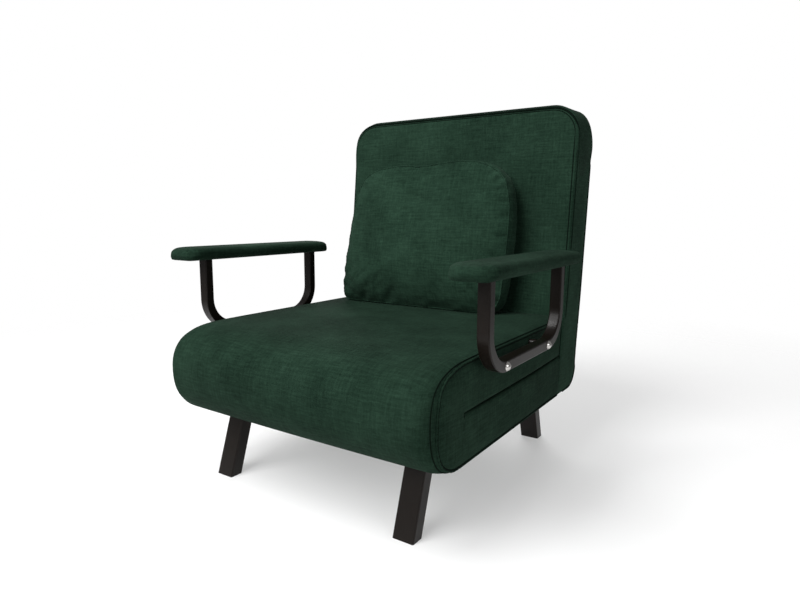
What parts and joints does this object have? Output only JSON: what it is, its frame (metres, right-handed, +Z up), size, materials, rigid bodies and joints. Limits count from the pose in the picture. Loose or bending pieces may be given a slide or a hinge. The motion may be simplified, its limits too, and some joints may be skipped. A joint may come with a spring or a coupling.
{
  "type": "fold-out sleeper armchair",
  "caption": "Padded single armchair that folds out into a narrow bed: flip-over seat with tube arms, reclining back with a prop, splayed tube legs, loose pillow.",
  "frame": {"origin": "on the floor under the middle of the chair as a seat", "axes": "+Z up, +X to the right as seen from the front, the chair faces -Y"},
  "size_m": [0.7716, 0.7753, 0.8076],
  "materials": {
    "cover_weave": "dark green linen-like weave",
    "pillow_weave": "dark green linen-like weave, piped border",
    "foam": "open-cell foam",
    "filling": "loose fibre filling",
    "strap": "elastic webbing",
    "arm_coat": "satin powder coat",
    "frame_coat": "matt powder coat",
    "hinge_steel": "zinc plated",
    "fixings": "zinc plated",
    "bright_bolt": "polished",
    "board": "plain plywood",
    "plug": "moulded"
  },
  "bodies": {
    "base": {"base_frame": "frame_coat", "base_webbing": "strap", "base_foam": "foam", "base_cover": "cover_weave", "leg_front_left": "arm_coat", "leg_front_right": "arm_coat", "leg_rear_left": "arm_coat", "leg_rear_right": "arm_coat", "leg_bolts": "fixings", "leg_plugs": "plug", "base_hinge_leaf_left": "hinge_steel", "base_hinge_leaf_right": "hinge_steel", "hinge_pins": "hinge_steel", "recline_sector_left": "hinge_steel", "recline_sector_right": "hinge_steel", "recline_pivot_bolts": "fixings", "recline_pivot_nuts": "fixings", "front_wrap": "cover_weave"},
    "seat": {"seat_frame": "frame_coat", "seat_webbing": "strap", "seat_foam": "foam", "seat_cover": "cover_weave", "seat_hinge_leaf_left": "hinge_steel", "seat_hinge_leaf_right": "hinge_steel", "arm_frame_left": "arm_coat", "arm_frame_right": "arm_coat", "arm_board_left": "board", "arm_board_right": "board", "arm_pad_left": "cover_weave", "arm_pad_right": "cover_weave", "arm_board_screws": "fixings", "arm_spacers": "fixings", "arm_bolts": "bright_bolt", "arm_nuts": "fixings"},
    "back": {"back_frame": "frame_coat", "back_webbing": "strap", "back_foam": "foam", "back_cover": "cover_weave", "recline_arm_left": "hinge_steel", "recline_arm_right": "hinge_steel", "recline_pawl_left": "hinge_steel", "recline_pawl_right": "hinge_steel", "recline_arm_bolts": "fixings", "prop_bracket_left": "frame_coat", "prop_bracket_right": "frame_coat", "prop_pins": "fixings"},
    "prop": {"prop_leg": "frame_coat", "prop_glides": "plug"},
    "pillow": {"pillow_cover": "pillow_weave", "pillow_filling": "filling"}
  },
  "joints": [
    {"name": "seat_flip", "type": "hinge", "parent": "base", "child": "seat", "pos_m": [0, -0.37667, 0.241], "axis": [1, 0, 0], "range_deg": [0, 180], "deforming": ["front_wrap"]},
    {"name": "back_recline", "type": "hinge", "parent": "base", "child": "back", "pos_m": [0, 0.25753, 0.16358], "axis": [-1, 0, 0], "range_deg": [0, 84.38]},
    {"name": "prop_swing", "type": "hinge", "parent": "back", "child": "prop", "pos_m": [0, 0.37767, 0.69437], "axis": [1, 0, 0], "range_deg": [0, 90]},
    {"name": "pillow_lift", "type": "slide", "parent": "seat", "child": "pillow", "axis": [0, 0.0979, 0.9952], "range_m": [0, 0.45]}
  ]
}
